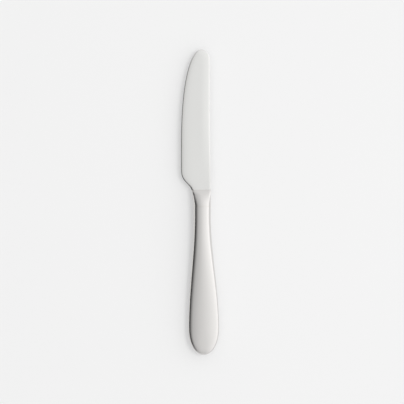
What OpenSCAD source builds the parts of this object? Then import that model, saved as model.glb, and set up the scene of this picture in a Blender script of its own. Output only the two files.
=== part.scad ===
// Butter knife with a hollow handle, lying on its side.
// X runs from the cutting edge (-) to the spine (+), Y from the butt of the handle (-) to the
// tip of the blade (+), and Z up through the thickness.
// The origin is under the middle of the knife, on the surface that it lies on.

/* [Knife] */
// Length over all, from the tip of the blade to the end of the handle
knife_l = 178; // [166:1:200]

/* [Blade] */
// Length of the flat blade, from its tip to the front of the bolster
blade_l = 81.8; // [74:0.2:90]
// Width of the blade, from the spine to the belly of the edge
blade_w = 16.8; // [15:0.1:20]
// Thickness of the flat of the blade
blade_t = 2.2; // [1.4:0.1:2.6]
// Thickness at the spine, in front of its taper
spine_t = 1.3; // [0.8:0.1:1.4]
// Width over which the blade thins towards its spine
crown_w = 5.3; // [3:0.1:7]
// Length in front of the heel over which the spine thins and draws in
taper_l = 40; // [20:1:50]
// How far the spine stands out at the heel
spine_out = 0.45; // [0:0.05:0.8]
// Thickness of the blunt edge under its bevel
edge_t = 0.7; // [0.4:0.1:1]
// Angle between the bevel along the edge and the flats, in degrees
bevel = 38; // [25:1:50]
// Angle at which the bevel runs out over the bolster, in degrees
bevel_out = 29; // [20:1:45]
// Length of the stretch where the edge runs straight
straight_l = 5.2; // [2:0.2:14]
// Length of the sweep from the edge in to the bolster
heel_l = 17.6; // [12:0.2:22]
// How far the sweep runs on behind the front of the bolster
heel_in = 1.0; // [0:0.1:4]
// Distance from the line of the spine to the foremost point of the tip
tip_in = 5.1; // [4:0.05:7]
// Length of the rounding from the spine to the foremost point
tip_round_l = 6; // [4:0.5:10]
// Length over which the blade thins out to its tip
tip_grind_l = 4.5; // [3:0.5:8]

/* [Bolster] */
// Height of the step at the heel, where the grinding of the flats ends
heel_step = 0.5; // [0.1:0.05:0.8]
// Length of the swelling from the flat blade to the full section
swell_l = 8.8; // [6:0.2:11]
// How far the bolster stands out at its front, on the edge's side
flare_out = 0.85; // [0:0.05:1.2]
// Length behind the heel over which the edge's side of the section turns round
edge_round_l = 3.6; // [2:0.2:8]
// Length of the full section in front of the handle's mouth
land_l = 0.8; // [0.4:0.1:3]

/* [Handle] */
// Width of the neck
neck_w = 10.2; // [9:0.1:12]
// Thickness of the neck
neck_t = 8.4; // [8:0.1:10]
// Length of the parallel stretch of the neck behind the mouth
neck_l = 5.6; // [5.4:0.2:12]
// Width of the handle at its widest
wide_w = 17.9; // [14:0.1:20]
// Thickness of the handle where it is widest
wide_t = 6.6; // [5.6:0.1:9]
// Length of the rounded butt, from the widest place to the end
butt_l = 16; // [10:0.5:24]
// How far the middle of the wide end is set over towards the spine's side
butt_set = 1; // [0:0.05:2]
// How far the neck stands proud of the line of the spine
spine_step = 0.5; // [0:0.05:0.8]

/* [Shells and brazing] */
// Wall of the pressed half shells
shell_wall = 0.8; // [0.6:0.05:1]
// Thickness of the braze between the two half shells
seam_t = 0.15; // [0.1:0.05:0.3]
// Thickness of the braze between the bolster and the shells
mouth_t = 0.15; // [0.1:0.05:0.3]

/* [Spigot and tang] */
// Length of the spigot that centres the blade in the mouth
spigot_l = 4.4; // [3:0.2:5]
// Room round the spigot for the braze
spigot_gap = 0.1; // [0.05:0.05:0.2]
// Length of the tang behind the spigot
tang_l = 32; // [20:1:40]
// Width of the tang
tang_w = 5.2; // [4:0.1:5.6]
// Thickness of the tang
tang_t = 2.6; // [1.8:0.1:3]
// Number of notches along each side of the tang
notches = 3; // [1:1:4]
// Length of a notch
notch_l = 2.5; // [1.5:0.1:3]
// Depth of a notch
notch_d = 0.7; // [0.4:0.1:1]
// Room left round the cement
cement_gap = 0.1; // [0.05:0.05:0.2]

/* [Hidden] */

steel = [0.8, 0.8, 0.79];
satin_steel = [0.74, 0.74, 0.73];
braze = [0.82, 0.74, 0.55];
cement = [0.62, 0.6, 0.56];

// Smoothness: points round a full section, and steps along each stretch. What lies inside the
// handle takes fewer.
ring_n = 48;
inner_ring_n = 24;
belly_n = 26;
heel_n = 16;
swell_n = 8;
taper_n = 22;
inner_taper_n = 12;
butt_n = 14;
inner_butt_n = 10;

// How far the forging stands proud of the flats before they are ground
grind_off = 0.03;

// Angle, seen round the section from straight up, at which the blade's side starts to fall to its edge
flat_from = -5;

// Powers in the curves: the belly of the edge, the sweep at the heel, the spine's end, the thinning
// of the tip, the shoulders of the blade's section, the butt seen from above, from the side and from
// its end, and the tang
belly_power = 2.6;
sweep_power = 2;
tip_power = 2.2;
grind_power = 2.5;
side_power = 3.5;
butt_plan_power = 2.3;
butt_side_power = 12;
butt_section_power = 2.8;
tang_power = 8;

// Places along the length
tip_y = knife_l / 2;
butt_y = -knife_l / 2;
heel_y = tip_y - blade_l;
land_y = heel_y - swell_l;
mouth_y = land_y - land_l;
shell_y = mouth_y - mouth_t;
waist_y = mouth_y - neck_l;
wide_y = butt_y + butt_l;
sweep_y = heel_y - heel_in;
edge_y = sweep_y + heel_l;
belly_y = edge_y + straight_l;
belly_l = tip_y - belly_y;
spigot_y = mouth_y - spigot_l;
cement_y = spigot_y - cement_gap;
tang_y = spigot_y - tang_l;

// Places across the width, first from the line of the spine and then from the middle of the knife
neck_in = spine_step - neck_w / 2;
wide_in = neck_in + butt_set;
low_x = min(-blade_w, wide_in - wide_w / 2);
high_x = max(neck_in + neck_w / 2, wide_in + wide_w / 2);
spine_x = -(low_x + high_x) / 2;
tip_x = spine_x - tip_in;
neck_x = spine_x + neck_in;
wide_x = spine_x + wide_in;

// The plane that halves the thickness
mid_z = max(neck_t, wide_t, blade_t) / 2;

function mix(a, b, s) = a + (b - a) * s;
function soft(s) = s * s * (3 - 2 * s);
function softer(s) = s * s * s * (10 - 15 * s + 6 * s * s);
function clamp(s) = min(1, max(0, s));
// From 1 down to 0 along a curve that starts level and ends square, as an ellipse does
function close_off(s, power) = sqrt(1 - pow(clamp(s), power));
function signed_pow(a, power) = sign(a) * pow(abs(a), power);

// Outline of the blade and bolster, seen from above
function edge_side(y) =
    y > belly_y ? mix(tip_x, spine_x - blade_w, close_off((y - belly_y) / belly_l, belly_power)) :
    let (
        flare = flare_out * (y - mouth_y) / (heel_y - mouth_y),
        sweep = softer(1 - pow(clamp((edge_y - y) / heel_l), sweep_power))
    )
    mix(neck_x - neck_w / 2 - flare, spine_x - blade_w, sweep);
function taper(y) = soft(clamp((y - heel_y) / taper_l));
function spine_side(y) =
    let (line = spine_x + spine_out * (1 - taper(y)))
    y > heel_y ? mix(tip_x, line, close_off((y - tip_y + tip_round_l) / tip_round_l, tip_power)) :
    mix(neck_x + neck_w / 2, line, softer(clamp((y - land_y) / swell_l)));

// The blade's section at a share of its half width: flat in the middle, rounded down to the edge and,
// in front of the heel, crowned towards the spine. Behind the heel it turns into an ellipse, sooner on
// the edge's side than on the spine's.
function rounded(off) = pow(1 - pow(clamp(off), side_power), 1 / side_power);
function crown(y, u) =
    let (from_spine = (1 - u) * (spine_side(y) - edge_side(y)) / 2)
    (1 - spine_t / blade_t) * taper(y) * pow(clamp(1 - from_spine / crown_w), 2);
function section(y, u) =
    mix(
        rounded((sin(flat_from) - u) / (1 + sin(flat_from))) - crown(y, u),
        sqrt(1 - u * u),
        soft(clamp((heel_y - y) / (u < 0 ? edge_round_l : heel_y - mouth_y)))
    );

// Half the thickness in the middle of the section
function thinned(y) = close_off((y - tip_y + tip_grind_l) / tip_grind_l, grind_power);
function step_height(y) = min(heel_step, max(0, heel_y - y));
function swell(y) = 1 - pow(1 - clamp((heel_y - y) / swell_l), 2);
function crest(y) = mix((blade_t / 2 + grind_off) * thinned(y) + step_height(y), neck_t / 2, swell(y));

// Half the thickness that the bevel leaves at a share of the half width
function lean(y) = (edge_side(y + edge_t) - edge_side(y - edge_t)) / (2 * edge_t);
function from_edge(y, u) = (1 + u) * (spine_side(y) - edge_side(y)) / 2 / sqrt(1 + pow(lean(y), 2));
function bevel_height(y, u) =
    edge_t / 2 + from_edge(y, u) * tan(bevel) + max(0, heel_y - y) * tan(bevel_out);
function blade_height(y, u) = min(crest(y) * section(y, u), bevel_height(y, u));

// Angles round a section, from straight up by way of the spine's side
function turns(n) = [for (k = [0:n - 1]) 360 * k / n];

function blade_ring(y) = [
    for (a = turns(ring_n))
        let (low = edge_side(y), high = spine_side(y), u = sin(a))
        [(low + high) / 2 + u * (high - low) / 2, y, mid_z + sign(cos(a)) * blade_height(y, u)]
];

// A section at one place along the length: 2 is an ellipse, and a high power nearly a rectangle
function oval_ring(n, x, y, half_w, half_t, power) = [
    for (a = turns(n))
        [x + half_w * signed_pow(sin(a), 2 / power), y, mid_z + half_t * signed_pow(cos(a), 2 / power)]
];

// Half width and half thickness of the handle, taken in by an inset on every side
function along(y) = soft(clamp((waist_y - y) / (waist_y - wide_y)));
function past_wide(y, inset) = (wide_y - y) / (butt_l - inset);
function half_w(y, inset) =
    (mix(neck_w, wide_w, along(y)) / 2 - inset) * close_off(past_wide(y, inset), butt_plan_power);
function half_t(y, inset) =
    (mix(neck_t, wide_t, along(y)) / 2 - inset) * close_off(past_wide(y, inset), butt_side_power);
function middle_x(y) = mix(neck_x, wide_x, along(y));
function handle_power(y, inset) = mix(2, butt_section_power, soft(clamp(past_wide(y, inset))));

// Places of the handle's sections, from a front end back to just before the butt's end
function handle_ys(front, inset, tapers, rounds) = [
    front,
    for (k = [0:tapers]) mix(waist_y, wide_y, k / tapers),
    for (k = [1:rounds - 1]) wide_y - (butt_l - inset) * sin(90 * k / rounds)
];

// Half of the handle's section above the middle plane, from the edge's side to the spine's side.
// The seam's braze takes up its share of the height.
function half_ring(y, inset) = [
    for (k = [0:ring_n / 2])
        let (
            a = 360 * k / ring_n - 90,
            x = half_w(y, inset) * signed_pow(sin(a), 2 / handle_power(y, inset)),
            z = (half_t(y, inset) - seam_t / 2) * signed_pow(cos(a), 2 / handle_power(y, inset))
        )
        [middle_x(y) + x, y, z]
];
function shell_rings(inset) = [for (y = handle_ys(shell_y, inset, taper_n, butt_n)) half_ring(y, inset)];

function joined(lists) = [for (list = lists) each list];

// Triangles between neighbouring rows of points, where the first point has the number "first"
function strips(rows, columns, first, closed) = [
    for (r = [0:rows - 2], c = [0:columns - (closed ? 1 : 2)])
        let (a = first + r * columns, b = a + columns, d = (c + 1) % columns)
        each [[a + c, a + d, b + d], [a + c, b + d, b + c]]
];
function fan(row, columns, centre, closed) = [
    for (c = [0:columns - (closed ? 1 : 2)]) [row + c, row + (c + 1) % columns, centre]
];
function turned(faces) = [for (f = faces) [f[2], f[1], f[0]]];

// A solid through closed rings, shut at both ends by a point
module loft(rings, start, end) {
    rows = len(rings);
    columns = len(rings[0]);
    total = rows * columns;
    polyhedron(
        points = concat(joined(rings), [start, end]),
        faces = concat(
            strips(rows, columns, 0, true),
            turned(fan(0, columns, total, true)),
            fan(total - columns, columns, total + 1, true)
        ),
        convexity = 8
    );
}

// A solid with a pocket that opens in its front end
module cup(rings, end, pocket, pocket_end) {
    columns = len(rings[0]);
    outer = len(rings) * columns;
    total = outer + len(pocket) * columns;
    polyhedron(
        points = concat(joined(rings), joined(pocket), [end, pocket_end]),
        faces = concat(
            strips(len(rings), columns, 0, true),
            fan(outer - columns, columns, total, true),
            turned(strips(len(pocket), columns, outer, true)),
            turned(fan(total - columns, columns, total + 1, true)),
            [for (c = [0:columns - 1])
                let (d = (c + 1) % columns)
                each [[d, c, outer + c], [d, outer + c, outer + d]]]
        ),
        convexity = 8
    );
}

// A bowl-shaped half shell between an outer and an inner skin that have alike rows
module half_shell(outer, outer_end, inner, inner_end) {
    rows = len(outer);
    columns = len(outer[0]);
    skin = rows * columns;
    out_tip = 2 * skin;
    in_tip = out_tip + 1;
    last = skin - columns;
    polyhedron(
        points = concat(joined(outer), joined(inner), [outer_end, inner_end]),
        faces = concat(
            strips(rows, columns, 0, false),
            fan(last, columns, out_tip, false),
            turned(strips(rows, columns, skin, false)),
            turned(fan(skin + last, columns, in_tip, false)),
            [for (c = [0:columns - 2]) each [[c + 1, c, skin + c], [c + 1, skin + c, skin + c + 1]]],
            joined([for (r = [0:rows - 2])
                let (a = r * columns, b = a + columns, e = b - 1, g = b + columns - 1)
                [[a, b, skin + b], [a, skin + b, skin + a], [g, e, skin + e], [g, skin + e, skin + g]]]),
            [
                [last, out_tip, in_tip],
                [last, in_tip, skin + last],
                [out_tip, skin - 1, 2 * skin - 1],
                [out_tip, 2 * skin - 1, in_tip]
            ]
        ),
        convexity = 8
    );
}

// Sections of the tang, grown by some room all round: notches are stepped into both narrow sides
notch_pitch = tang_l / (notches + 1);
function tang_section(n, y, half, room) =
    oval_ring(n, neck_x, y, half + room, tang_t / 2 + room, tang_power);
function tang_rings(n, start_y, room) = [
    tang_section(n, start_y, tang_w / 2, room),
    for (k = [1:notches])
        let (front = spigot_y - k * notch_pitch + notch_l / 2, back = front - notch_l)
        each [
            tang_section(n, front - room, tang_w / 2, room),
            tang_section(n, front - room, tang_w / 2 - notch_d, room),
            tang_section(n, back + room, tang_w / 2 - notch_d, room),
            tang_section(n, back + room, tang_w / 2, room)
        ],
    tang_section(n, tang_y - room, tang_w / 2, room)
];

// The blade as it is forged, in one piece with its bolster, spigot and tang
module forging() {
    belly_ys = [for (k = [1:belly_n]) belly_y + belly_l * cos(90 * k / belly_n)];
    heel_ys = [for (k = [0:heel_n - 1]) mix(edge_y, heel_y, k / heel_n)];
    swell_ys = [heel_y, for (k = [0:swell_n]) mix(heel_y - heel_step, land_y, k / swell_n)];
    spigot_w = neck_w / 2 - shell_wall - spigot_gap;
    spigot_t = neck_t / 2 - shell_wall - spigot_gap;
    loft(
        concat(
            [for (y = concat(belly_ys, heel_ys, swell_ys, [mouth_y])) blade_ring(y)],
            [for (y = [mouth_y, spigot_y]) oval_ring(ring_n, neck_x, y, spigot_w, spigot_t, 2)],
            tang_rings(ring_n, spigot_y, 0)
        ),
        [tip_x, tip_y, mid_z],
        [neck_x, tang_y, mid_z]
    );
}

module blade() {
    color(steel)
        difference() {
            forging();
            for (side = [0, 1])
                translate([0, 0, mid_z])
                    mirror([0, 0, side])
                        translate([spine_x - blade_w, heel_y, blade_t / 2])
                            cube([blade_w + spine_out, blade_l, blade_t]);
        }
}

// The upper half shell, drawn with the seam at height zero
module shell_half() {
    half_shell(
        shell_rings(0),
        [wide_x, butt_y, 0],
        shell_rings(shell_wall),
        [wide_x, butt_y + shell_wall, 0]
    );
}

module handle_shell_upper() {
    color(satin_steel) translate([0, 0, mid_z + seam_t / 2]) shell_half();
}

module handle_shell_lower() {
    color(satin_steel) translate([0, 0, mid_z - seam_t / 2]) mirror([0, 0, 1]) shell_half();
}

// Outline of the handle at the seam, taken in by an inset
function seam_outline(inset) =
    let (rings = shell_rings(inset), last = len(rings) - 1)
    concat(
        [for (ring = rings) [ring[0][0], ring[0][1]]],
        [[wide_x, butt_y + inset]],
        [for (r = [last:-1:0]) let (end = rings[r][ring_n / 2]) [end[0], end[1]]]
    );

module seam_braze() {
    color(braze)
        translate([0, 0, mid_z - seam_t / 2])
            linear_extrude(seam_t)
                difference() {
                    polygon(seam_outline(0));
                    polygon(seam_outline(shell_wall));
                }
}

// An upright slice of the neck, from one place along the length back to another
module slice(from_y, to_y, outer_in, inner_in) {
    function profile(inset) = [
        for (a = turns(ring_n)) [(neck_w / 2 - inset) * sin(a), (neck_t / 2 - inset) * cos(a)]
    ];
    translate([neck_x, from_y, mid_z])
        rotate([90, 0, 0])
            linear_extrude(from_y - to_y)
                difference() {
                    polygon(profile(outer_in));
                    polygon(profile(inner_in));
                }
}

module mouth_braze() {
    color(braze) {
        slice(mouth_y, shell_y, 0, shell_wall + spigot_gap);
        slice(mouth_y, spigot_y, shell_wall, shell_wall + spigot_gap);
    }
}

module tang_cement() {
    inset = shell_wall + cement_gap;
    color(cement)
        cup(
            [for (y = handle_ys(cement_y, inset, inner_taper_n, inner_butt_n))
                oval_ring(inner_ring_n, middle_x(y), y, half_w(y, inset), half_t(y, inset), 2)],
            [wide_x, butt_y + inset, mid_z],
            tang_rings(inner_ring_n, cement_y, cement_gap),
            [neck_x, tang_y - cement_gap, mid_z]
        );
}

blade();
handle_shell_upper();
handle_shell_lower();
seam_braze();
mouth_braze();
tang_cement();
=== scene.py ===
"""Butter knife with a hollow handle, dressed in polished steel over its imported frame."""

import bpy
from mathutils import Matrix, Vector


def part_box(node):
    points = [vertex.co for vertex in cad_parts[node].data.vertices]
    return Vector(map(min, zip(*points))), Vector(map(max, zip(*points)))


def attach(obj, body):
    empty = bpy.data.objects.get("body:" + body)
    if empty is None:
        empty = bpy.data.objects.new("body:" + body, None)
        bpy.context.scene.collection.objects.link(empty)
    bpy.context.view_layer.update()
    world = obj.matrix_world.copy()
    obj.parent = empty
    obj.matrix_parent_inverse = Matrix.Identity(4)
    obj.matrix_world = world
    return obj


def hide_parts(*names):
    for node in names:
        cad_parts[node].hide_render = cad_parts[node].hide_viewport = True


bl_info = {
    "name": "Butter knife",
    "version": (1, 0, 0),
    "blender": (4, 5, 0),
    "location": "3D View > Sidebar > Butter knife",
    "description": "Builds a hollow-handled butter knife in polished steel over its frame",
    "category": "Add Mesh",
}

from math import copysign, cos, pi, radians, sin, sqrt, tan

import bmesh
import bpy
from bpy.props import FloatProperty, FloatVectorProperty, IntProperty, PointerProperty

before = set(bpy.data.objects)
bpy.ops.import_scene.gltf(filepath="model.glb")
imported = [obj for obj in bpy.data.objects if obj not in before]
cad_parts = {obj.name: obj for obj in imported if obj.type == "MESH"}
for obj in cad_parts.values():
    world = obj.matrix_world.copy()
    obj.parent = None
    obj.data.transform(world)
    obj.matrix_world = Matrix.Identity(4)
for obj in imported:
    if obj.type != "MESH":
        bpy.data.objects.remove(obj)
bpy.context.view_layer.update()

MM = 0.001
BLADE_LOW, BLADE_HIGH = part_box("blade")
SHELL_LOW, SHELL_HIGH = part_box("handle_shell_upper")


def linear(colour):
    """A colour written as sRGB hex, in the linear light that Blender reckons with"""
    parts = [int(colour[i:i + 2], 16) / 255 for i in (1, 3, 5)]
    return [p / 12.92 if p <= 0.04045 else ((p + 0.055) / 1.055) ** 2.4 for p in parts]


def size(label, about, mm):
    """A length that the panel shows, given in millimetres and kept in metres"""
    return FloatProperty(name=label, description=about, default=mm * MM, min=0, precision=5, unit="LENGTH")


def count(label, about, default):
    return IntProperty(name=label, description=about, default=default, min=1)


def colour(label, about, default):
    return FloatVectorProperty(
        name=label, description=about, default=linear(default), min=0, max=1, size=3, subtype="COLOR"
    )


def share(label, about, default):
    return FloatProperty(
        name=label, description=about, default=default, min=0, max=1, subtype="FACTOR"
    )


class ButterKnifeSizes(bpy.types.PropertyGroup):
    """Sizes of the knife. Those that the frame's boxes give are read from them."""

    knife_l: size("Length", "Over all, from tip to butt", (BLADE_HIGH.y - SHELL_LOW.y) / MM)
    blade_l: size("Blade length", "From the tip to the front of the bolster", 81.8)
    blade_w: size("Blade width", "From the spine to the belly of the edge", 16.8)
    blade_t: size("Blade thickness", "At the flats", 2.2)
    spine_t: size("Spine thickness", "At the spine, in front of its taper", 1.3)
    crown_w: size("Crown width", "Over which the blade thins towards its spine", 5.3)
    taper_l: size("Spine taper", "From the heel, where the spine thins and draws in", 40)
    spine_out: size("Spine bow", "How far the spine stands out at the heel", 0.45)
    ease_w: size("Eased corner", "Reach of the rounding along the spine's corners", 1)
    ease_d: size("Easing depth", "How deep that rounding goes", 0.12)
    edge_t: size("Edge thickness", "At the blunt edge, under its bevel", 0.7)
    bevel: FloatProperty(
        name="Edge bevel", description="Angle between the bevel and the flats",
        default=radians(38), subtype="ANGLE",
    )
    bevel_out: FloatProperty(
        name="Bevel run-out", description="Angle at which the bevel runs out over the bolster",
        default=radians(29), subtype="ANGLE",
    )
    straight_l: size("Straight edge", "Stretch where the edge runs straight", 5.2)
    heel_l: size("Heel sweep", "From the edge in to the bolster", 17.6)
    heel_in: size("Heel overlap", "How far the sweep runs on behind the front of the bolster", 1.0)
    flare_out: size("Flare", "How far the edge's side of the bolster stands out at its front", 0.85)
    tip_in: size("Tip set in", "From the line of the spine to the foremost point", 5.1)
    tip_round_l: size("Tip rounding", "From the spine to the foremost point", 6)
    tip_grind_l: size("Tip thinning", "Length over which the blade thins to its tip", 4.5)
    heel_step: size("Heel step", "Height of the step where the grinding of the flats ends", 0.5)
    heel_round: size("Heel rounding", "Reach of the polished rounding on each side of the step", 0.5)
    swell_l: size("Swelling", "From the flat blade to the bolster's full section", 8.8)
    edge_round_l: size("Edge's rounding", "Behind the heel, where the edge's side turns round", 3.6)
    land_l: size("Land", "Full section in front of the handle's mouth", 0.8)
    neck_w: size("Neck width", "Across the bolster and the handle's neck", 10.2)
    neck_t: size("Neck thickness", "Through the bolster", (BLADE_HIGH.z - BLADE_LOW.z) / MM)
    neck_l: size("Neck length", "Parallel stretch behind the mouth", 5.6)
    wide_w: size("Handle width", "At its widest", (SHELL_HIGH.x - SHELL_LOW.x) / MM)
    wide_t: size("Handle thickness", "Where the handle is widest", 6.6)
    butt_l: size("Butt length", "From the widest place to the end", 16)
    butt_set: size("Butt set over", "Of the wide end, towards the spine", 1)
    spine_step: size("Spine step", "How far the neck stands proud of the spine", 0.5)
    shell_wall: size("Shell wall", "Of the pressed half shells", 0.8)
    seam_t: size("Seam braze", "Between the two half shells", 0.15)
    mouth_t: size("Mouth braze", "Between the bolster and the shells", 0.15)
    spigot_l: size("Spigot length", "Of the spigot in the handle's mouth", 4.4)
    spigot_gap: size("Spigot room", "For the braze round the spigot", 0.1)
    tang_l: size("Tang length", "Behind the spigot", 32)
    tang_w: size("Tang width", "Across the tang", 5.2)
    tang_t: size("Tang thickness", "Through the tang", 2.6)
    notches: count("Notches", "Along each side of the tang", 3)
    notch_l: size("Notch length", "Along the tang", 2.5)
    notch_d: size("Notch depth", "Into the tang", 0.7)
    around: count("Points round", "Points round a full section", 192)
    along: count("Steps along", "Steps along each curved stretch", 56)


class ButterKnifeFinish(bpy.types.PropertyGroup):
    """Colours and polish of the knife's metals and filler"""

    blade_steel: colour("Blade steel", "Ground and polished cutlery steel", "#E6E6E4")
    shell_steel: colour("Handle steel", "Pressed and polished stainless sheet", "#DBD9D7")
    solder: colour("Braze", "Silver solder, polished flush with the steel", "#CFCBC1")
    cement: colour("Cement", "Cutler's cement round the tang", "#A39C8F")
    polish: share("Roughness", "Mean roughness of the polished steel", 0.17)
    line_gap: size("Polishing lines", "Gap between the lines that the polishing leaves", 0.7)
    line_l: size("Line length", "Length of a polishing line", 24)
    line_depth: size("Line depth", "Depth of a polishing line", 0.0012)


class ButterKnifeStage(bpy.types.PropertyGroup):
    """Floor, light and camera"""

    floor: colour("Floor", "Matt white board", "#F3F3F3")
    floor_w: size("Floor width", "Side of the square floor", 8000)
    level: FloatProperty(name="Tent", description="Brightness of the light tent", default=1)
    ends: share("Dull ends", "How much darker the tent is at its ends than in its middle", 0.1)
    lamp: FloatProperty(name="Lamp", description="Power of the lamp in watts", default=1.9, unit="POWER")
    lamp_w: size("Lamp width", "Side of the soft box on the lamp", 300)
    lamp_x: size("Lamp across", "From the middle of the knife towards the spine", 450)
    lamp_y: size("Lamp along", "From the middle of the knife towards the tip", 80)
    lamp_z: size("Lamp height", "Over the floor", 1000)
    shine: share("Backlight", "How much of the floor's white comes from under it", 0.32)
    window_turn: FloatProperty(
        name="Window", description="Direction of the window, from the spine towards the tip",
        default=radians(14), subtype="ANGLE",
    )
    lens: FloatProperty(name="Lens", description="Focal length in millimetres", default=100, unit="CAMERA")
    view_w: size("View width", "Width that the camera takes in at the knife", 235.5)
    view_x: size("View centre across", "From the middle of the knife towards the spine", 1.18)
    view_y: size("View centre along", "From the middle of the knife towards the tip", 0.09)


# The knife's curves


def mix(a, b, s):
    return a + (b - a) * s


def clamp(s):
    return min(1, max(0, s))


def soft(s):
    return s * s * (3 - 2 * s)


def softer(s):
    return s * s * s * (10 - 15 * s + 6 * s * s)


def close_off(s, power):
    """From 1 down to 0 along a curve that starts level and ends square, as an ellipse does"""
    return sqrt(1 - clamp(s) ** power)


def oval(turn, half_w, half_t, power):
    """A point of a section at an angle from straight up.
    The power 2 gives an ellipse, and a high power nearly a rectangle.
    """
    across = copysign(abs(sin(turn)) ** (2 / power), sin(turn))
    up = copysign(abs(cos(turn)) ** (2 / power), cos(turn))
    return half_w * across, half_t * up


class KnifeForm:
    """Places and sections of the knife: X from edge to spine, Y from butt to tip and Z up, in metres"""

    # Sine of the angle at which the blade's side starts to fall to its edge
    flat_from = sin(radians(-5))
    # Powers of the curves, as the frame has them
    belly_power = 2.6
    sweep_power = 2
    tip_power = 2.2
    grind_power = 2.5
    side_power = 3.5
    butt_plan_power = 2.3
    butt_side_power = 12
    butt_section_power = 2.8
    tang_power = 8

    def __init__(self, sizes):
        self.k = k = sizes
        self.tip_y = k.knife_l / 2
        self.butt_y = -k.knife_l / 2
        self.heel_y = self.tip_y - k.blade_l
        self.land_y = self.heel_y - k.swell_l
        self.mouth_y = self.land_y - k.land_l
        self.shell_y = self.mouth_y - k.mouth_t
        self.waist_y = self.mouth_y - k.neck_l
        self.wide_y = self.butt_y + k.butt_l
        self.sweep_y = self.heel_y - k.heel_in
        self.edge_y = self.sweep_y + k.heel_l
        self.belly_y = self.edge_y + k.straight_l
        self.spigot_y = self.mouth_y - k.spigot_l
        self.tang_y = self.spigot_y - k.tang_l
        neck_in = k.spine_step - k.neck_w / 2
        wide_in = neck_in + k.butt_set
        low_x = min(-k.blade_w, wide_in - k.wide_w / 2)
        high_x = max(neck_in + k.neck_w / 2, wide_in + k.wide_w / 2)
        self.spine_x = -(low_x + high_x) / 2
        self.tip_x = self.spine_x - k.tip_in
        self.neck_x = self.spine_x + neck_in
        self.wide_x = self.spine_x + wide_in
        self.mid_z = max(k.neck_t, k.wide_t, k.blade_t) / 2

    def edge_side(self, y):
        k = self.k
        if y > self.belly_y:
            run = (y - self.belly_y) / (self.tip_y - self.belly_y)
            return mix(self.tip_x, self.spine_x - k.blade_w, close_off(run, self.belly_power))
        sweep = softer(1 - clamp((self.edge_y - y) / k.heel_l) ** self.sweep_power)
        flare = k.flare_out * (y - self.mouth_y) / (self.heel_y - self.mouth_y)
        return mix(self.neck_x - k.neck_w / 2 - flare, self.spine_x - k.blade_w, sweep)

    def taper(self, y):
        """From 0 at the heel to 1 where the spine is at its thinnest"""
        return soft(clamp((y - self.heel_y) / self.k.taper_l))

    def spine_side(self, y):
        k = self.k
        line = self.spine_x + k.spine_out * (1 - self.taper(y))
        if y > self.heel_y:
            run = (y - self.tip_y + k.tip_round_l) / k.tip_round_l
            return mix(self.tip_x, line, close_off(run, self.tip_power))
        sweep = softer(clamp((y - self.land_y) / k.swell_l))
        return mix(self.neck_x + k.neck_w / 2, line, sweep)

    def shoulder(self, y, u):
        """The blade's section at a share of its half width.
        It is flat in the middle, rounded down to the edge, crowned towards the spine and eased along
        the spine's corners.
        """
        k = self.k
        off = clamp((self.flat_from - u) / (1 + self.flat_from))
        rounded = (1 - off ** self.side_power) ** (1 / self.side_power)
        from_spine = (1 - u) * (self.spine_side(y) - self.edge_side(y)) / 2
        crown = (1 - k.spine_t / k.blade_t) * self.taper(y) * clamp(1 - from_spine / k.crown_w) ** 2
        ease = 2 * k.ease_d / k.blade_t * clamp(1 - from_spine / k.ease_w) ** 2
        return rounded - crown - ease

    def blade_height(self, y, u):
        """Half the thickness of the blade and bolster, with the rounded step between them and the bevel"""
        k = self.k
        thinning = close_off((y - self.tip_y + k.tip_grind_l) / k.tip_grind_l, self.grind_power)
        back = self.heel_y - y
        reach = k.heel_round
        step = k.heel_step * soft(clamp((back + reach) / (2 * reach)))
        if abs(back) < reach:
            back = (back + reach) ** 2 / (4 * reach)
        swelling = 1 - (1 - clamp(back / k.swell_l)) ** 2
        round_l = k.edge_round_l if u < 0 else self.heel_y - self.mouth_y
        rounding = soft(clamp((self.heel_y - y) / round_l))
        section = mix(self.shoulder(y, u), sqrt(clamp(1 - u * u)), rounding)
        height = mix(k.blade_t / 2 * thinning + step, k.neck_t / 2, swelling) * section
        return min(height, self.bevel_height(y, u))

    def bevel_height(self, y, u):
        """Half the thickness that the bevel leaves. It runs out over the bolster."""
        k = self.k
        lean = (self.edge_side(y + k.edge_t) - self.edge_side(y - k.edge_t)) / (2 * k.edge_t)
        across = (1 + u) * (self.spine_side(y) - self.edge_side(y)) / 2
        from_edge = across / sqrt(1 + lean ** 2)
        return k.edge_t / 2 + from_edge * tan(k.bevel) + max(0, self.heel_y - y) * tan(k.bevel_out)

    def blade_ring(self, y):
        low = self.edge_side(y)
        high = self.spine_side(y)
        ring = []
        for turn in self.turns():
            u = sin(turn)
            up = copysign(self.blade_height(y, u), cos(turn))
            ring.append((mix(low, high, (u + 1) / 2), y, self.mid_z + up))
        return ring

    def turns(self):
        """Angles round a section, from straight up by way of the spine's side"""
        return [2 * pi * i / self.k.around for i in range(self.k.around)]

    def neck_ring(self, y, half_w, half_t, power):
        points = [oval(turn, half_w, half_t, power) for turn in self.turns()]
        return [(self.neck_x + x, y, self.mid_z + z) for x, z in points]

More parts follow.
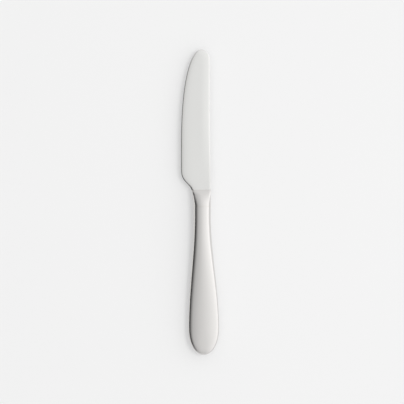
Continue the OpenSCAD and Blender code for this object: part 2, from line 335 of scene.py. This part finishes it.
    def blade_rows(self):
        """Sections of the blade, bolster, spigot and notched tang, from the tip back"""
        k = self.k
        steps = range(k.along)
        belly = [mix(self.belly_y, self.tip_y, cos(pi / 2 * (i + 1) / k.along)) for i in steps]
        straight = [mix(self.belly_y, self.edge_y, i / k.along) for i in steps[1:]]
        heel = [mix(self.edge_y, self.heel_y + k.heel_round, i / k.along) for i in steps]
        step = [self.heel_y + k.heel_round * (1 - 2 * i / k.along) for i in steps]
        swell = [mix(self.heel_y - k.heel_round, self.land_y, i / k.along) for i in steps]
        ys = belly + straight + heel + step + swell + [self.land_y, self.mouth_y]
        spigot_in = k.shell_wall + k.spigot_gap
        spigot = (k.neck_w / 2 - spigot_in, k.neck_t / 2 - spigot_in, 2)
        tang = (k.tang_w / 2, k.tang_t / 2, self.tang_power)
        notched = (k.tang_w / 2 - k.notch_d, k.tang_t / 2, self.tang_power)
        rows = [self.blade_ring(y) for y in ys]
        rows += [self.neck_ring(y, *spigot) for y in (self.mouth_y, self.spigot_y)]
        rows.append(self.neck_ring(self.spigot_y, *tang))
        for i in range(k.notches):
            middle = self.spigot_y - (i + 1) * k.tang_l / (k.notches + 1)
            front = middle + k.notch_l / 2
            back = middle - k.notch_l / 2
            rows += [self.neck_ring(front, *section) for section in (tang, notched)]
            rows += [self.neck_ring(back, *section) for section in (notched, tang)]
        rows.append(self.neck_ring(self.tang_y, *tang))
        tip = [(self.tip_x, self.tip_y, self.mid_z)] * k.around
        tail = [(self.neck_x, self.tang_y, self.mid_z)] * k.around
        return [tip] + rows + [tail]

    def half_ring(self, y, inset):
        """The handle's section above the seam, from the edge's side to the spine's side"""
        k = self.k
        along = soft(clamp((self.waist_y - y) / (self.waist_y - self.wide_y)))
        past_wide = (self.wide_y - y) / (k.butt_l - inset)
        half_w = mix(k.neck_w, k.wide_w, along) / 2 - inset
        half_t = mix(k.neck_t, k.wide_t, along) / 2 - inset
        half_w *= close_off(past_wide, self.butt_plan_power)
        half_t *= close_off(past_wide, self.butt_side_power)
        half_t = max(0, half_t - k.seam_t / 2)
        middle = mix(self.neck_x, self.wide_x, along)
        power = mix(2, self.butt_section_power, soft(clamp(past_wide)))
        half = k.around // 2
        points = [oval(pi * i / half - pi / 2, half_w, half_t, power) for i in range(half + 1)]
        return [(middle + x, y, z) for x, z in points]

    def shell_ys(self, inset):
        k = self.k
        steps = range(k.along + 1)
        taper = [mix(self.waist_y, self.wide_y, i / k.along) for i in steps]
        butt = [self.wide_y - (k.butt_l - inset) * sin(pi / 2 * i / k.along) for i in steps]
        return [self.shell_y] + taper + butt[1:]

    def shell_rows(self, side):
        """Sections through the wall of a half shell, over the seam (side 1) or under it (side -1)"""
        k = self.k
        seam_z = self.mid_z + side * k.seam_t / 2
        rows = []
        for outer_y, inner_y in zip(self.shell_ys(0), self.shell_ys(k.shell_wall)):
            outer = self.half_ring(outer_y, 0)
            inner = self.half_ring(inner_y, k.shell_wall)
            rows.append([(x, y, seam_z + side * z) for x, y, z in outer + inner[::-1]])
        # The front is shut along the middle of the wall, where both skins meet
        front = rows[0]
        wall = [tuple(mix(a, b, 0.5) for a, b in zip(p, q)) for p, q in zip(front, front[::-1])]
        return [wall] + rows


# Points closer than this are one point, and edges folded more than this stay crisp
JOIN = 1e-8
SHARP = radians(40)


def build(name, rows):
    """A closed piece through rings of points. Points that coincide are joined, which shuts its ends."""
    shape = bmesh.new()
    grid = [[shape.verts.new(point) for point in row] for row in rows]
    for near, far in zip(grid, grid[1:]):
        for i in range(len(near)):
            shape.faces.new((near[i - 1], near[i], far[i], far[i - 1]))
    bmesh.ops.remove_doubles(shape, verts=shape.verts, dist=JOIN)
    bmesh.ops.recalc_face_normals(shape, faces=shape.faces)
    for face in shape.faces:
        face.smooth = True
    for edge in shape.edges:
        edge.smooth = edge.calc_face_angle(0) < SHARP
    mesh = bpy.data.meshes.new(name)
    shape.to_mesh(mesh)
    shape.free()
    piece = bpy.data.objects.new(name, mesh)
    bpy.context.scene.collection.objects.link(piece)
    return piece


# Materials

# Nearly all values of a noise lie between these two
NOISE_SPAN = {"From Min": 0.3, "From Max": 0.7}


def add(tree, kind, settings=None, links=None):
    """Adds a node with its settings, and the links that come into it.
    A ramp's stops are pairs of a place and a level.
    """
    made = tree.nodes.new(kind)
    for name, value in (settings or {}).items():
        if name == "stops":
            while len(made.color_ramp.elements) < len(value):
                made.color_ramp.elements.new(1)
            for element, (place, level) in zip(made.color_ramp.elements, value):
                element.position = place
                element.color = (level, level, level, 1)
        elif isinstance(name, int) or name in made.inputs:
            made.inputs[name].default_value = value
        else:
            setattr(made, name, value)
    for socket, source in (links or {}).items():
        tree.links.new(source, made.inputs[socket])
    return made


def new_material(name):
    """An empty node material, its tree and the place of each point in metres"""
    material = bpy.data.materials.new(name)
    material.use_nodes = True
    tree = material.node_tree
    tree.nodes.clear()
    place = add(tree, "ShaderNodeTexCoord").outputs["Object"]
    return material, tree, place


def finish_material(tree, settings, links):
    shader = add(tree, "ShaderNodeBsdfPrincipled", settings, links)
    add(tree, "ShaderNodeOutputMaterial", {}, {"Surface": shader.outputs["BSDF"]})


def scaled(x, y, z):
    """Mapping scale for a pattern whose marks are about this long along each axis, in metres"""
    return (1 / x, 1 / y, 1 / z)


def polished_steel(name, metal, finish, lengthwise):
    """Stainless steel worked with finer and finer belts and then buffed.
    It gives a bright, soft reflection, drawn out a little across the fine lines that the belt leaves,
    with faint cloudy patches where hands and cloths have rubbed, and a few stray hairline scratches.
    """
    material, tree, place = new_material(name)
    # Real polishing lines lie some hundredths of a millimetre apart. They are drawn as coarse as a
    # pixel of the picture, and shallow, so that they show as a light streakiness.
    gap = finish.line_gap
    run = finish.line_l
    marks = scaled(gap, run, gap) if lengthwise else scaled(run, gap, run)
    line_place = add(tree, "ShaderNodeMapping", {"Scale": marks}, {"Vector": place})
    lines = add(
        tree, "ShaderNodeTexNoise", {"Scale": 1, "Detail": 3, "Roughness": 0.6},
        {"Vector": line_place.outputs["Vector"]},
    )
    # Cloudy patches, as wide as a fingertip
    patch_place = add(
        tree, "ShaderNodeMapping", {"Scale": scaled(11 * MM, 19 * MM, 11 * MM)}, {"Vector": place}
    )
    patches = add(
        tree, "ShaderNodeTexNoise", {"Scale": 1, "Detail": 2, "Roughness": 0.5},
        {"Vector": patch_place.outputs["Vector"]},
    )
    # Hairline scratches from use, a few centimetres long and slightly across the polishing
    scratch_place = add(
        tree, "ShaderNodeMapping",
        {"Rotation": (0, 0, radians(17)), "Scale": scaled(0.9 * MM, 34 * MM, 3 * MM)},
        {"Vector": place},
    )
    scratches = add(
        tree, "ShaderNodeTexNoise", {"Scale": 1, "Detail": 1, "Roughness": 0.4},
        {"Vector": scratch_place.outputs["Vector"]},
    )
    hairs = add(
        tree, "ShaderNodeMapRange",
        {"From Min": 0.66, "From Max": 0.74, "To Min": 0, "To Max": 1},
        {"Value": scratches.outputs["Fac"]},
    )
    # Roughness: the lines spread it a little, the patches shift it, and scratches are duller
    line_spread = 0.025
    patch_shift = 0.02
    scratch_dulling = 0.05
    line_polish = add(
        tree, "ShaderNodeMapRange",
        {**NOISE_SPAN, "To Min": finish.polish - line_spread, "To Max": finish.polish + line_spread},
        {"Value": lines.outputs["Fac"]},
    )
    patch_polish = add(
        tree, "ShaderNodeMapRange",
        {**NOISE_SPAN, "To Min": -patch_shift, "To Max": patch_shift},
        {"Value": patches.outputs["Fac"]},
    )
    polish = add(
        tree, "ShaderNodeMath", {"operation": "ADD"},
        {0: line_polish.outputs["Result"], 1: patch_polish.outputs["Result"]},
    )
    worn = add(
        tree, "ShaderNodeMath", {"operation": "MULTIPLY_ADD", 1: scratch_dulling},
        {0: hairs.outputs["Result"], 2: polish.outputs["Value"]},
    )
    # Colour: one metal, a hair darker in the patches
    shade = add(
        tree, "ShaderNodeMapRange",
        {**NOISE_SPAN, "To Min": 0.985, "To Max": 1},
        {"Value": patches.outputs["Fac"]},
    )
    tone = add(
        tree, "ShaderNodeVectorMath", {"operation": "SCALE", 0: metal},
        {"Scale": shade.outputs["Result"]},
    )
    relief = add(
        tree, "ShaderNodeMath", {"operation": "SUBTRACT"},
        {0: lines.outputs["Fac"], 1: hairs.outputs["Result"]},
    )
    bump = add(
        tree, "ShaderNodeBump", {"Strength": 1, "Distance": finish.line_depth},
        {"Height": relief.outputs["Value"]},
    )
    finish_material(
        tree, {"Metallic": 1},
        {
            "Base Color": tone.outputs["Vector"],
            "Roughness": worn.outputs["Value"],
            "Normal": bump.outputs["Normal"],
        },
    )
    return material


def silver_solder(finish):
    """Silver solder, brazed and then buffed flush with the steel.
    It gives a slightly warmer and duller line than the steel beside it, with fine pores.
    """
    material, tree, place = new_material("silver_solder_buffed")
    pore_tone = 0.82
    pore_roughness = 0.45
    flush_roughness = 0.24
    spots = add(
        tree, "ShaderNodeTexVoronoi", {"Scale": 1 / (0.4 * MM), "Randomness": 1}, {"Vector": place}
    )
    pores = add(
        tree, "ShaderNodeMapRange",
        {"From Min": 0.05, "From Max": 0.3, "To Min": pore_tone, "To Max": 1},
        {"Value": spots.outputs["Distance"]},
    )
    tone = add(
        tree, "ShaderNodeVectorMath", {"operation": "SCALE", 0: finish.solder[:]},
        {"Scale": pores.outputs["Result"]},
    )
    dull = add(
        tree, "ShaderNodeMapRange",
        {"From Min": pore_tone, "From Max": 1, "To Min": pore_roughness, "To Max": flush_roughness},
        {"Value": pores.outputs["Result"]},
    )
    finish_material(
        tree, {"Metallic": 1}, {"Base Color": tone.outputs["Vector"], "Roughness": dull.outputs["Result"]}
    )
    return material


def cutlers_cement(finish):
    """Resin and brick dust, poured in hot and set. It gives a dull, grainy, uneven grey-brown mass."""
    material, tree, place = new_material("cutlers_cement_poured")
    grit = add(
        tree, "ShaderNodeTexNoise", {"Scale": 1 / (0.5 * MM), "Detail": 4, "Roughness": 0.7},
        {"Vector": place},
    )
    shade = add(
        tree, "ShaderNodeMapRange",
        {**NOISE_SPAN, "To Min": 0.7, "To Max": 1.1},
        {"Value": grit.outputs["Fac"]},
    )
    tone = add(
        tree, "ShaderNodeVectorMath", {"operation": "SCALE", 0: finish.cement[:]},
        {"Scale": shade.outputs["Result"]},
    )
    bump = add(
        tree, "ShaderNodeBump", {"Strength": 0.6, "Distance": 0.1 * MM}, {"Height": grit.outputs["Fac"]}
    )
    finish_material(
        tree, {"Roughness": 0.85}, {"Base Color": tone.outputs["Vector"], "Normal": bump.outputs["Normal"]}
    )
    return material


def painted_board(stage):
    """Board rolled with matt white paint, lit a little from under. It gives an even white with the
    faintest stipple. The backlight lifts the shadows, and shows to the camera and in reflections alone.
    """
    material, tree, place = new_material("matt_painted_board")
    stipple = add(
        tree, "ShaderNodeTexNoise", {"Scale": 1 / (1.5 * MM), "Detail": 2, "Roughness": 0.5},
        {"Vector": place},
    )
    bump = add(
        tree, "ShaderNodeBump", {"Strength": 0.2, "Distance": 0.02 * MM},
        {"Height": stipple.outputs["Fac"]},
    )
    paint = add(
        tree, "ShaderNodeBsdfPrincipled",
        {"Base Color": (*stage.floor, 1), "Roughness": 0.9, "Specular IOR Level": 0.1},
        {"Normal": bump.outputs["Normal"]},
    )
    backlight = add(tree, "ShaderNodeEmission", {"Color": (*stage.floor, 1), "Strength": 1})
    ray = add(tree, "ShaderNodeLightPath")
    seen = add(
        tree, "ShaderNodeMath", {"operation": "MAXIMUM"},
        {0: ray.outputs["Is Camera Ray"], 1: ray.outputs["Is Glossy Ray"]},
    )
    seen_through = add(
        tree, "ShaderNodeMath", {"operation": "MAXIMUM"},
        {0: seen.outputs["Value"], 1: ray.outputs["Is Transmission Ray"]},
    )
    part = add(
        tree, "ShaderNodeMath", {"operation": "MULTIPLY", 1: stage.shine},
        {0: seen_through.outputs["Value"]},
    )
    blend = add(
        tree, "ShaderNodeMixShader", {},
        {0: part.outputs["Value"], 1: paint.outputs["BSDF"], 2: backlight.outputs["Emission"]},
    )
    add(tree, "ShaderNodeOutputMaterial", {}, {"Surface": blend.outputs["Shader"]})
    return material


# Operators


def wear(piece, material):
    """Gives a piece its material, in place of any that it had"""
    piece.data.materials.clear()
    piece.data.materials.append(material)


def place_piece(piece, material, node):
    """Dresses a new piece and puts it on the knife in place of its CAD node"""
    wear(piece, material)
    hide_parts(node)
    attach(piece, "root")


class KNIFE_OT_blade(bpy.types.Operator):
    """Build the blade, one forging with its bolster, spigot and tang"""

    bl_idname = "knife.blade"
    bl_label = "Blade"

    def execute(self, context):
        finish = context.scene.knife_finish
        steel = polished_steel("cutlery_steel_ground_and_polished", finish.blade_steel[:], finish, False)
        form = KnifeForm(context.scene.knife_sizes)
        blade = build("blade_polished", form.blade_rows())
        place_piece(blade, steel, "blade")
        # The bolster is buffed together with the handle, so the blade's own finish ends at the heel
        blade.data.materials.append(
            polished_steel("cutlery_steel_bolster_buffed", finish.shell_steel[:], finish, True)
        )
        for face in blade.data.polygons:
            face.material_index = int(face.center.y < form.heel_y)
        return {"FINISHED"}


class KNIFE_OT_handle(bpy.types.Operator):
    """Build the two pressed half shells of the handle"""

    bl_idname = "knife.handle"
    bl_label = "Handle shells"

    def execute(self, context):
        finish = context.scene.knife_finish
        steel = polished_steel("stainless_sheet_pressed_and_polished", finish.shell_steel[:], finish, True)
        form = KnifeForm(context.scene.knife_sizes)
        for side, which in ((1, "upper"), (-1, "lower")):
            shell = build(f"handle_{which}_polished", form.shell_rows(side))
            place_piece(shell, steel, f"handle_shell_{which}")
        return {"FINISHED"}


class KNIFE_OT_filling(bpy.types.Operator):
    """Dress the brazes and the cement, whose shapes are kept from the frame"""

    bl_idname = "knife.filling"
    bl_label = "Brazes and cement"

    def execute(self, context):
        finish = context.scene.knife_finish
        solder = silver_solder(finish)
        wear(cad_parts["seam_braze"], solder)
        wear(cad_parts["mouth_braze"], solder)
        wear(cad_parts["tang_cement"], cutlers_cement(finish))
        return {"FINISHED"}


class KNIFE_OT_stage(bpy.types.Operator):
    """Set out the floor, the soft studio light and the camera"""

    bl_idname = "knife.stage"
    bl_label = "Stage"

    def execute(self, context):
        scene = context.scene
        stage = scene.knife_stage
        self.lay_floor(scene, stage)
        self.light(scene, stage)
        self.hang_lamp(scene, stage)
        self.place_camera(scene, stage)
        scene.view_settings.view_transform = "Standard"
        return {"FINISHED"}

    def lay_floor(self, scene, stage):
        half = stage.floor_w / 2
        mesh = bpy.data.meshes.new("floor")
        corners = [(-half, -half, 0), (half, -half, 0), (half, half, 0), (-half, half, 0)]
        mesh.from_pydata(corners, [], [(0, 1, 2, 3)])
        floor = bpy.data.objects.new("floor", mesh)
        scene.collection.objects.link(floor)
        wear(floor, painted_board(stage))

    def hang_lamp(self, scene, stage):
        """A soft box, high on the spine's side, that throws the shadow towards the edge's side"""
        lamp = bpy.data.lights.new("soft_box", "AREA")
        lamp.energy = stage.lamp
        lamp.size = stage.lamp_w
        hung = bpy.data.objects.new("soft_box", lamp)
        hung.location = (stage.lamp_x, stage.lamp_y, stage.lamp_z)
        hung.rotation_mode = "QUATERNION"
        hung.rotation_quaternion = hung.location.to_track_quat("Z", "Y")
        hung.visible_glossy = False
        scene.collection.objects.link(hung)

    def place_camera(self, scene, stage):
        """Straight over the knife, as high as the lens needs to take in the view's width"""
        camera = bpy.data.cameras.new("camera")
        camera.lens = stage.lens
        eye = bpy.data.objects.new("camera", camera)
        mid_z = scene.knife_sizes.neck_t / 2
        rise = stage.view_w * camera.lens / camera.sensor_width
        eye.location = (stage.view_x, stage.view_y, mid_z + rise)
        scene.collection.objects.link(eye)
        scene.camera = eye

    def light(self, scene, stage):
        """A white tent, open to a window on the spine's side and falling off on the edge's side"""
        world = bpy.data.worlds.new("studio")
        world.use_nodes = True
        tree = world.node_tree
        tree.nodes.clear()
        way = add(tree, "ShaderNodeTexCoord").outputs["Generated"]
        turn = stage.window_turn
        facing = add(
            tree, "ShaderNodeVectorMath",
            {"operation": "DOT_PRODUCT", 1: (cos(turn), sin(turn), 0)},
            {0: way},
        )
        from_zero = add(
            tree, "ShaderNodeMapRange", {"From Min": -1, "From Max": 1}, {"Value": facing.outputs["Value"]}
        )
        # Half of the sky's brightness, so that stops stay under 1, from the dull side to the window
        sky = add(
            tree, "ShaderNodeValToRGB",
            {"stops": [(0, 0.01), (0.035, 0.03), (0.1, 0.175), (0.18, 0.31), (0.355, 0.39), (0.5, 0.455),
                       (0.6, 0.5), (0.7, 0.545), (0.83, 0.595), (0.95, 0.66), (1, 0.76)]},
            {"Fac": from_zero.outputs["Result"]},
        )
        lengthwise = add(tree, "ShaderNodeSeparateXYZ", {}, {"Vector": way}).outputs["Y"]
        squared = add(tree, "ShaderNodeMath", {"operation": "MULTIPLY"}, {0: lengthwise, 1: lengthwise})
        full = 2 * stage.level
        strength = add(
            tree, "ShaderNodeMath",
            {"operation": "MULTIPLY_ADD", 1: -stage.ends * full, 2: full},
            {0: squared.outputs["Value"]},
        )
        tent = add(
            tree, "ShaderNodeBackground", {},
            {"Color": sky.outputs["Color"], "Strength": strength.outputs["Value"]},
        )
        add(tree, "ShaderNodeOutputWorld", {}, {"Surface": tent.outputs["Background"]})
        scene.world = world


class KNIFE_PT_panel(bpy.types.Panel):
    """Sizes, finish and stage of the butter knife, and the operators that build it"""

    bl_idname = "KNIFE_PT_panel"
    bl_label = "Butter knife"
    bl_space_type = "VIEW_3D"
    bl_region_type = "UI"
    bl_category = "Butter knife"

    def draw(self, context):
        for operator in OPERATORS:
            self.layout.operator(operator.bl_idname)
        for owner, group in GROUPS.items():
            box = self.layout.box()
            for name in group.__annotations__:
                box.prop(getattr(context.scene, owner), name)


GROUPS = {
    "knife_sizes": ButterKnifeSizes,
    "knife_finish": ButterKnifeFinish,
    "knife_stage": ButterKnifeStage,
}
OPERATORS = (KNIFE_OT_blade, KNIFE_OT_handle, KNIFE_OT_filling, KNIFE_OT_stage)


def register():
    for made in (*GROUPS.values(), *OPERATORS, KNIFE_PT_panel):
        bpy.utils.register_class(made)
    for owner, group in GROUPS.items():
        setattr(bpy.types.Scene, owner, PointerProperty(type=group))


def unregister():
    for owner in GROUPS:
        delattr(bpy.types.Scene, owner)
    for made in (KNIFE_PT_panel, *reversed(OPERATORS), *reversed(GROUPS.values())):
        bpy.utils.unregister_class(made)


def main():
    register()
    bpy.ops.knife.blade()
    bpy.ops.knife.handle()
    bpy.ops.knife.filling()
    bpy.ops.knife.stage()


if __name__ == "__main__":
    main()
